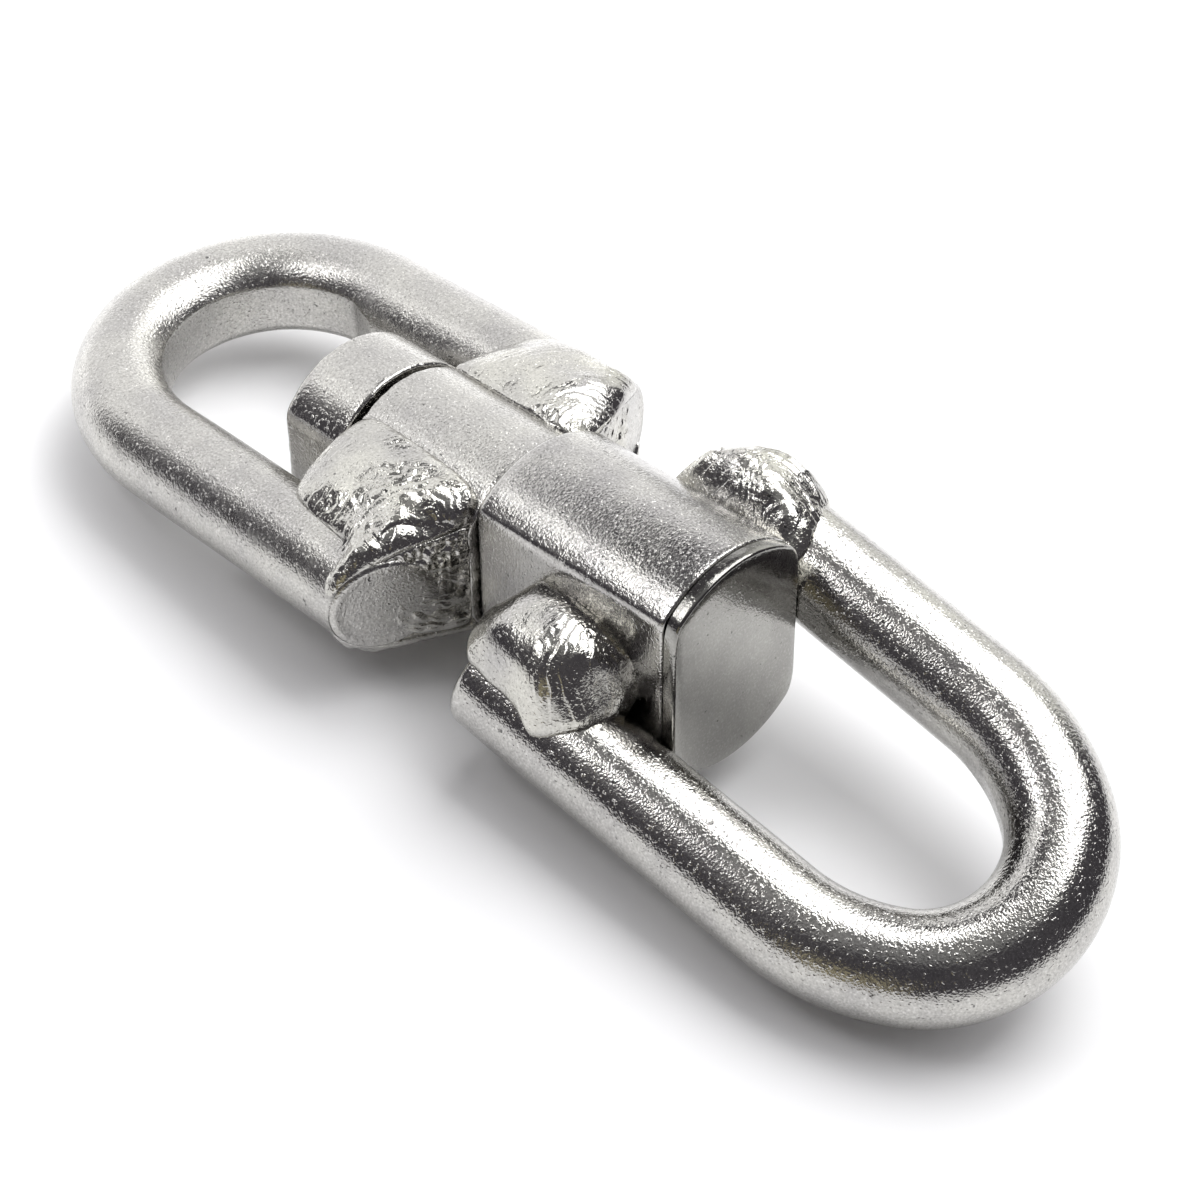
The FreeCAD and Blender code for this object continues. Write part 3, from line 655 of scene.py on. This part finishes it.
def weld(name, body, edge, crown, facing, relief, lip=0.9, lip_wide=2.2, sink=1.2,
         rings=70, around=420, deep=4.0, centre=None, stands=()):
    """A bead seen along one outward direction: its toe line, its crown and its relief.

    edge is the toe line, in order, and crown holds points on its top, all in the swivel
    frame. facing is the outward direction and relief gives the ripples' height. The bead
    rises by lip within lip_wide of its toe. Its skirt goes sink below the toe, into the
    steel, and closes at deep. Its rings meet at centre. stands names further CAD nodes
    that it stands for.
    """
    outward = np.array(facing, float)
    outward /= np.linalg.norm(outward)
    first = np.cross((0, 1, 0) if abs(outward[1]) < 0.9 else (0, 0, 1), outward)
    first /= np.linalg.norm(first)
    basis = np.stack([first, np.cross(outward, first), outward])
    border = smooth_toe(np.array(edge, float) @ basis.T, around)
    top = np.array(crown, float) @ basis.T
    middle = border[:, :2].mean(axis=0) if centre is None else (
        np.array(centre, float) @ basis.T)[:2]
    known = np.concatenate([border[::TOE_STRIDE], top])
    scales = np.concatenate([np.linspace(0, OPEN_SHARE, rings // 2, endpoint=False)[1:],
                             np.linspace(OPEN_SHARE, 1.0, rings - rings // 2)])
    spots = [middle + (border[:, :2] - middle) * scale for scale in scales]
    flat = np.concatenate([middle[None, :], *spots])
    height = thin_plate(known[:, :2], known[:, 2], flat)
    inward = np.repeat(np.concatenate([[1.0], 1 - scales]),
                       np.concatenate([[1], np.full(len(scales), around)]))
    span = np.concatenate([[MIDDLE_SPAN], np.tile(
        np.linalg.norm(border[:, :2] - middle, axis=1), len(scales))])
    near = np.clip(inward * span / lip_wide, 0, 1)
    fade = np.clip(inward * span / TOE_FADE, 0, 1)
    height += lip * np.sqrt(1 - (1 - near) ** 2) - TOE_DROP
    plane = flat @ basis[:2]
    height += fade * relief(plane + height[:, None] * outward)
    surface = plane + height[:, None] * outward
    skirt = border[:, :2] @ basis[:2] + (border[:, 2] - sink)[:, None] * outward
    low = border[:, :2].mean(axis=0) @ basis[:2] + (border[:, 2].min() - deep) * outward
    inner = low + (skirt - low) * 0.5 - 0.25 * sink * outward
    points = np.concatenate([surface, skirt, inner, low[None, :]])
    count = len(scales)
    faces = fan(1, around, 0, False)
    faces += [[a + 1 for a in quad] for quad in ring_faces(count + 2, around, False)]
    faces += fan(1 + (count + 1) * around, around, len(points) - 1, True)
    made = piece(name, points, faces, body, standing_for(name), WELD,
                 sharp=60.0)
    if stands:
        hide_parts(*stands)


def standing_for(name):
    """The CAD node of a bead, by the bead's name."""
    return name.replace("_weld_bead", "_weld").replace("_bead", "_weld")


def lobe(places, start, direction, half, height, fade=4.0):
    """A rounded run of metal beside a line, with a crease where it starts.

    half is half of its width; it begins over fade mm before the line's start.
    """
    ahead = np.array(direction, float) / math.hypot(*direction)
    away = places - np.array(start)
    along = away @ ahead
    beside = away @ np.array((ahead[1], -ahead[0]))
    wander = 0.5 * waves(places, seed=77, size=5.0)
    rise = np.sqrt(np.clip(1 - ((beside + wander - half) / half) ** 2, 0, 1))
    return height * rise * np.clip((along + fade) / fade, 0, 1)


def small_relief(centre, seed, ridge=None):
    """Broad ripples round a weld pool, finer steps between them and a second run."""
    def relief(places):
        xy = places[:, :2]
        made = ripples(xy, centre, 3.1, 0.30, seed, squash=0.9, reach=17.0)
        made += ripples(xy, centre, 1.3, 0.11, seed + 10)
        if ridge:
            made += lobe(xy, *ridge)
        return made + 0.14 * waves(xy, seed + 20, 7.0)
    return relief


def end_relief(centre, seed):
    """Level ripples of an upright bead, rougher towards its upper end."""
    def relief(places):
        yz = places[:, 1:]
        made = ripples(yz, centre, 1.15, 0.22, seed, squash=0.8)
        rough = np.clip((places[:, 2] - 1.0) / 4.0, 0, 1)
        return made + 0.16 * rough * waves(places, seed + 5, 1.3) + 0.1 * waves(yz, seed, 4.0)
    return relief


def under(points):
    """The same points below the small bow's legs, level with the bow."""
    tilt = math.radians(BOWS["small"]["roll"])
    lift = -BOWS["small"]["drop"]
    made = []
    for x, y, z in points:
        across = y * math.cos(tilt) + z * math.sin(tilt)
        up = z * math.cos(tilt) - y * math.sin(tilt) - lift
        made.append((x, across * math.cos(tilt) + (up - lift) * math.sin(tilt),
                     across * math.sin(tilt) - (up - lift) * math.cos(tilt)))
    return made


# Toe lines and crowns of the beads on the small bow's legs.
SMALL_NEAR_EDGE = [
    (-42.6, -8.8, 12.6), (-43.2, -14, 11.2), (-43.2, -19, 9.0), (-42.2, -23.2, 7.0),
    (-38.9, -24.4, 6.8), (-34.6, -25.1, 6.8), (-29.3, -25.6, 6.8), (-26.4, -26.4, 6.5),
    (-26.2, -28.6, 5.6), (-26.9, -30.9, 3.2), (-26.4, -32.0, 1.4), (-24.5, -32.0, 2.4),
    (-23.0, -29.5, 5.0), (-21.5, -25.9, 6.9), (-20.3, -23.1, 7.7), (-18.7, -19.0, 8.4),
    (-17.8, -16.9, 8.7), (-16.3, -13.2, 9.6), (-16.6, -10.0, 11.6), (-18.6, -9.2, 12.3),
    (-22.6, -8.5, 12.7), (-28.8, -8.2, 12.9), (-35.5, -8.0, 13.0), (-40.0, -8.0, 13.0)]
SMALL_NEAR_CROWN = [
    (-38, -14, 12.3), (-30, -14, 12.5), (-22, -13, 12.2), (-38, -19, 10.6),
    (-31, -19, 10.9), (-24, -18, 11.0), (-37, -22, 8.9), (-30, -22.5, 9.2),
    (-24.5, -23, 9.4), (-24.3, -27, 8.0), (-22.6, -22, 9.6), (-25, -30, 5.2)]
SMALL_FAR_EDGE = [
    (-43.0, 9.6, 12.1), (-44.0, 18.5, 9.8), (-42.6, 24.0, 9.9), (-38.5, 28.4, 9.0),
    (-32, 30.4, 7.6), (-25.8, 30.8, 6.8), (-23.0, 29.0, 8.2), (-20.6, 24.4, 9.9),
    (-18.2, 18.6, 9.6), (-16.3, 13.4, 9.6), (-16.6, 10.2, 11.2), (-21.6, 8.9, 12.6),
    (-28, 9.2, 12.5), (-35, 9.6, 12.3)]
SMALL_FAR_CROWN = [
    (-38, 15, 12.6), (-30, 15, 13.0), (-22, 14, 12.6), (-38, 21, 11.9), (-30, 21, 12.4),
    (-22, 20, 12.0), (-36, 26, 10.9), (-29, 27, 10.8), (-24, 26, 10.8)]


# The small near bead's second run: its start, direction, half width and height.
SECOND_RUN = ((-26.8, -16.3), (0.603, 0.798), 3.3, 0.9)


def make_small_welds():
    """Beads over and under the small bow's legs, and the root runs between leg and hub."""
    weld("small_near_top_bead", TURNING, SMALL_NEAR_EDGE, SMALL_NEAR_CROWN,
         (0.1, -0.37, 0.93), small_relief((-20, -21), seed=100, ridge=SECOND_RUN),
         centre=(-30, -18, 9), lip=0.7)
    weld("small_far_top_bead", TURNING, SMALL_FAR_EDGE, SMALL_FAR_CROWN,
         (0.1, 0.30, 0.95), small_relief((-14, 13), seed=120),
         centre=(-30, 19, 9), lip=0.7)
    weld("small_near_bottom_bead", TURNING, under(SMALL_NEAR_EDGE), under(SMALL_NEAR_CROWN),
         (0.1, -0.43, -0.9), small_relief((-36, -20), seed=130),
         centre=(-30, -18, -9), lip=0.7)
    weld("small_far_bottom_bead", TURNING, under(SMALL_FAR_EDGE), under(SMALL_FAR_CROWN),
         (0.1, 0.33, -0.94), small_relief((-37, 20), seed=135),
         centre=(-30, 19, -9), lip=0.7)
    make_root_weld("near", -1, 7.4, -8.4)
    make_root_weld("far", 1, 9.6, -6.6)


def make_root_weld(name, hand, top, low):
    """An upright bead that fills the gap between a leg's bevelled end and the hub."""
    edge = [
        (-16.1, 12.7, top + 1.4), (-17.6, 16.9, top + 0.8), (-18.7, 19.4, top + 0.6),
        (-20.2, 23.1, top), (-21.2, 25.6, top - 1.0), (-20.9, 24.6, top - 4.2),
        (-20.8, 24.4, top - 8), (-20.4, 23.6, low + 2.2), (-19.2, 20.8, low + 0.2),
        (-17.4, 16.6, low - 0.6), (-16.2, 13.4, low - 0.6), (-16.1, 12.7, low),
        (-16.05, 12.7, 0)]
    crown = [(-17.2, 16, 4), (-17.2, 16, -4), (-18.9, 20, 4), (-18.9, 20, -4),
             (-20.2, 23, 0)]
    edge, crown = ([(x, hand * y, z) for x, y, z in line] for line in (edge, crown))
    weld(f"small_{name}_root_bead", TURNING, edge, crown, (0.93, hand * 0.37, 0),
         end_relief((hand * 15.5, 14.0), seed=200 + hand), lip=0.35, lip_wide=1.6,
         sink=0.6, rings=50, around=300, deep=1.2)


NEAR_POOL, FAR_POOL, LOW_POOL = (15.7, -16.5), (18.0, 9.0), (20.0, 0.0)
RAYS = 70                             # fine rays round the large far bead's pool


def near_relief(places):
    """Crescents of the large near bead round its pool, with fine steps on them."""
    xy = places[:, :2]
    made = ripples(xy, NEAR_POOL, 1.5, 0.34, seed=140, squash=0.8, reach=10.5)
    made += ripples(xy, NEAR_POOL, 0.6, 0.05, seed=150, reach=8.0)
    return made + 0.16 * waves(xy, seed=160, size=7.0)


def far_relief(places):
    """Broad crescents of the large far bead, fine steps and faint rays across them."""
    xy = places[:, :2]
    made = ripples(xy, FAR_POOL, 2.5, 0.36, seed=170, squash=0.95)
    made += ripples(xy, FAR_POOL, 0.9, 0.06, seed=180)
    away = xy - np.array(FAR_POOL)
    turn = np.arctan2(away[:, 1], away[:, 0])
    rays = np.sin(turn * RAYS + 2 * waves(xy, seed=185, size=4.0))
    made += 0.035 * rays * np.clip(waves(xy, seed=186, size=6.0) + 0.3, 0, 1)
    return made + 0.12 * waves(xy, seed=190, size=7.0)


def low_relief(places):
    """Ripples of the beads under the large bow's legs."""
    xy = places[:, :2]
    made = ripples(xy, LOW_POOL, 1.5, 0.2, seed=210)
    return made + 0.15 * waves(xy, seed=220, size=5.0)


def make_large_welds():
    """Beads over and under the large bow's legs; the top ones run round each leg's end."""
    weld("large_near_top_bead", FIXED,
         [(-5.2, -13.6, 3.4), (-6.2, -18.5, 3.0), (-6.1, -22.6, 0.8), (-4.2, -25.2, -0.8),
          (0.7, -25.9, -1.6), (3.9, -25.8, -2.0), (7.1, -26.2, -3.0), (10.3, -27.2, -5.0),
          (12.9, -26.0, -4.2), (16.5, -22.2, -3.2), (17.6, -17.8, -2.8), (17.2, -13.6, 0.0),
          (15.8, -12.4, 3.6), (10.5, -12.3, 6.6), (4.0, -12.3, 7.8), (-1.5, -12.3, 7.4)],
         [(-2, -17, 6.4), (3, -16, 8.2), (8, -16, 8.2), (12, -16, 6.9), (-2.5, -21, 4.9),
          (4, -20, 7.1), (9, -20, 6.8), (0, -24.0, 3.2), (4, -24.2, 4.0), (8, -24.2, 3.6),
          (11, -25.0, 1.2), (13.2, -21.4, 3.8), (15.4, -16.8, 4.0)],
         (0.1, -0.6, 0.8), near_relief, centre=(5.5, -19.5, 3), lip=1.1, lip_wide=1.2, sink=3.0,
         stands=("large_near_heel_weld", "large_near_toe_weld"))
    weld("large_far_top_bead", FIXED,
         [(-1.8, 12.5, 9.4), (-0.6, 14.6, 12.0), (1.0, 17.0, 14.0), (3.4, 22.5, 13.8),
          (6.0, 26.0, 12.6), (9.5, 28.0, 11.4), (13.8, 28.2, 10.4), (17.8, 26.4, 9.2),
          (20.5, 21.9, 10.2), (22.4, 16.4, 9.8), (22.0, 12.6, 8.6), (14, 12.3, 9.6),
          (6, 12.3, 10.6)],
         [(2.5, 15.5, 14.4), (8, 15.5, 14.6), (13, 15.5, 14.2), (18, 15.5, 12.6),
          (5.5, 20, 15.8), (11, 20.5, 15.4), (16, 21, 13.4), (9, 25, 14.4), (14, 25, 13.0)],
         (0.15, 0.2, 0.95), far_relief, centre=(10, 20, 12), sink=4.0, deep=6.0,
         stands=("large_far_heel_weld", "large_far_toe_weld"))
    weld("large_near_bottom_bead", FIXED,
         [(-4.2, -10.6, -13.8), (-4.0, -14.5, -14.6), (-3.6, -18.5, -15.4), (5, -19.4, -17.0),
          (12, -19.0, -18.2), (15.8, -16.0, -18.6), (16.2, -12.0, -15.6), (15, -10.3, -14.2),
          (5, -10.0, -14.4)],
         [(0, -14, -17.2), (6, -14, -18.2), (12, -14, -18.6)],
         (0.0, -0.2, -0.98), low_relief, lip=0.6, rings=46, around=260)
    weld("large_far_bottom_bead", FIXED,
         [(-2.8, 12.5, -5.0), (-2.6, 16.0, -2.6), (-2.2, 19.6, -0.6), (5, 20.4, -2.0),
          (12, 20.2, -3.4), (16, 17.6, -4.6), (16.4, 12.5, -8.2), (5, 12.5, -7.6)],
         [(0, 15.5, -4.8), (6, 15.8, -6.2), (12, 15.8, -7.0)],
         (0.0, 0.55, -0.83), low_relief, lip=0.6, rings=46, around=260)


PLUG_FACE, PLUG_RADIUS, PLUG_POOL = -56.5, 7.8, (5.0, -3.0)


def plug_relief(places):
    """Ripples of the plug weld, across the pin."""
    return ripples(places[:, 1:], PLUG_POOL, 1.2, 0.12, seed=230)


def make_plug():
    """The plug weld over the pin's end: a low rippled dome."""
    turn = np.linspace(0, 2 * np.pi, 48, endpoint=False)
    rim = [(PLUG_FACE, PLUG_RADIUS * math.cos(t), PLUG_RADIUS * math.sin(t)) for t in turn]
    crown = [(-57.0, 4, 0), (-57.0, -4, 0), (-57.0, 0, 4), (-57.0, 0, -4), (-57.1, 0, 0)]
    weld("pin_end_weld_bead", FIXED, rim, crown, (-1, 0, 0), plug_relief, lip=0.25,
         lip_wide=1.5, sink=1.0, rings=40, around=240, deep=1.5)


# ---------------------------------------------------------------- stage, lights and camera

PALE = (0.93, 0.93, 0.94, 1)          # the floor, and the surroundings as the camera sees them
FLOOR_HALF = 6.0

# Surroundings as the steel mirrors them. CEILING_RISE is where the ceiling begins. Each
# patch starts, is full, is full up to and ends at degrees of azimuth and of elevation.
ROOM, CEILING, CEILING_RISE = (0.085, 0.08, 0.09), (0.30, 0.30, 0.30), (52.0, 72.0)
PATCHES = (
    ((198, 216, 240, 264), (22, 40, 70, 80), (0.34, 0.33, 0.34)),
    ((84, 98, 116, 130), (-8, 8, 52, 70), (1.20, 1.20, 1.16)),
    ((266, 276, 294, 304), (-20, -8, 14, 26), (0.40, 0.36, 0.25)))


def make_stage():
    """The pale floor the swivel lies on."""
    mesh = bpy.data.meshes.new("floor")
    half = FLOOR_HALF
    mesh.from_pydata([(-half, -half, 0), (half, -half, 0), (half, half, 0), (-half, half, 0)],
                     [], [(0, 1, 2, 3)])
    floor = link("floor", mesh)
    material = bpy.data.materials.new("floor_white")
    material.use_nodes = True
    shader = material.node_tree.nodes["Principled BSDF"]
    shader.inputs["Base Color"].default_value = PALE
    shader.inputs["Roughness"].default_value = 0.9
    shader.inputs["Specular IOR Level"].default_value = 0.1
    mesh.materials.append(material)


def aim_along(light, direction):
    """Turn a light to shine along a direction."""
    light.rotation_mode = "QUATERNION"
    light.rotation_quaternion = direction.to_track_quat("-Z", "Y")


def softbox(name, place, size, radiance, aim=(0.0, 0.0, 0.0)):
    """A rectangular light at a place in the row frame, facing aim."""
    data = bpy.data.lights.new(name, "AREA")
    data.shape = "RECTANGLE"
    data.size, data.size_y = size
    data.energy = radiance * math.pi * size[0] * size[1]
    light = link(name, data)
    light.location = place
    aim_along(light, Vector(aim) - Vector(place))
    light.visible_camera = False


def make_lights():
    """Softboxes overhead at the back, in front, beside and low at the left, and a fill."""
    softbox("panel", (0.035, 0.25, 0.42), (0.41, 0.44), 3.8, aim=(0.035, 0.25, 0.0))
    softbox("small_panel", (-0.14, -0.20, 0.32), (0.13, 0.13), 4.0)
    softbox("left_wall", (-0.19, 0.105, 0.132), (0.39, 0.264), 1.15, aim=(0.0, 0.105, 0.132))
    softbox("low_panel", (-0.213, -0.13, 0.283), (0.08, 0.08), 1.7)
    data = bpy.data.lights.new("fill", "SUN")
    data.energy, data.angle = 1.0, math.radians(70)
    fill = link("fill", data)
    aim_along(fill, Vector((-0.25, -0.45, -1.0)))
    fill.visible_glossy = False


def math_node(tree, kind, one, two=None):
    """A sum of one or two values, numbers or sockets."""
    made = add(tree, "ShaderNodeMath", operation=kind)
    for index, value in enumerate((one, two)):
        if isinstance(value, bpy.types.NodeSocket):
            tree.links.new(value, made.inputs[index])
        elif value is not None:
            made.inputs[index].default_value = value
    return made.outputs[0]


def make_world():
    """A white wall behind, two dim patches and a dark room; all pale to the camera."""
    world = bpy.data.worlds.new("studio")
    bpy.context.scene.world = world
    world.use_nodes = True
    tree = world.node_tree
    tree.nodes.clear()
    where = add(tree, "ShaderNodeTexCoord").outputs["Generated"]
    split = add(tree, "ShaderNodeSeparateXYZ")
    tree.links.new(where, split.inputs[0])
    x, y, z = (split.outputs[axis] for axis in "XYZ")
    turn = math_node(tree, "MULTIPLY", math_node(tree, "ARCTAN2", y, x), 180 / math.pi)
    turn = math_node(tree, "FLOORED_MODULO", turn, 360.0)
    rise = math_node(tree, "MULTIPLY", math_node(tree, "ARCSINE", z), 180 / math.pi)

    def patch(turns, rises):
        """1 inside a soft-edged patch of azimuth and elevation, 0 outside."""
        share = math_node(tree, "MULTIPLY", spread(tree, turn, turns[0], turns[1]),
                          spread(tree, turn, turns[2], turns[3], 1.0, 0.0))
        share = math_node(tree, "MULTIPLY", share, spread(tree, rise, rises[0], rises[1]))
        return math_node(tree, "MULTIPLY", share,
                         spread(tree, rise, rises[2], rises[3], 1.0, 0.0))

    colour = mix(tree, spread(tree, rise, *CEILING_RISE), ROOM, CEILING)
    for turns, rises, shade in PATCHES:
        colour = mix(tree, patch(turns, rises), colour, shade)
    unseen = add(tree, "ShaderNodeBackground", Strength=1.0)
    tree.links.new(colour, unseen.inputs["Color"])
    seen = add(tree, "ShaderNodeBackground", Strength=1.0)
    seen.inputs["Color"].default_value = PALE
    ray = add(tree, "ShaderNodeLightPath")
    both = add(tree, "ShaderNodeMixShader")
    tree.links.new(ray.outputs["Is Camera Ray"], both.inputs[0])
    tree.links.new(unseen.outputs[0], both.inputs[1])
    tree.links.new(seen.outputs[0], both.inputs[2])
    out = add(tree, "ShaderNodeOutputWorld")
    tree.links.new(both.outputs[0], out.inputs["Surface"])


# The camera looks at aim from azimuth and elevation, rolled, in degrees; away is metres.
CAMERA = dict(azimuth=40.51, elevation=44.52, roll=5.96, away=0.39504,
              aim=(0.01129, -0.00381, 0.02162), lens=83.41)


def make_camera():
    """The main view, from the front and above."""
    a, e = math.radians(CAMERA["azimuth"]), math.radians(CAMERA["elevation"])
    back = Vector((math.sin(a) * math.cos(e), -math.cos(a) * math.cos(e), math.sin(e)))
    right = Vector((math.cos(a), math.sin(a), 0))
    up = back.cross(right)
    roll = math.radians(CAMERA["roll"])
    right, up = (right * math.cos(roll) + up * math.sin(roll),
                 up * math.cos(roll) - right * math.sin(roll))
    data = bpy.data.cameras.new("camera")
    data.lens, data.sensor_width = CAMERA["lens"], 36.0
    data.clip_start, data.clip_end = 0.01, 50
    camera = link("camera", data)
    camera.matrix_world = Matrix.Translation(
        Vector(CAMERA["aim"]) + back * CAMERA["away"]) @ Matrix(
        (right, up, back)).transposed().to_4x4()
    bpy.context.scene.camera = camera


make_bows()
make_hubs()
make_pin()
make_small_welds()
make_large_welds()
make_plug()
make_stage()
make_world()
make_lights()
make_camera()
bpy.context.scene.view_settings.view_transform = "Standard"
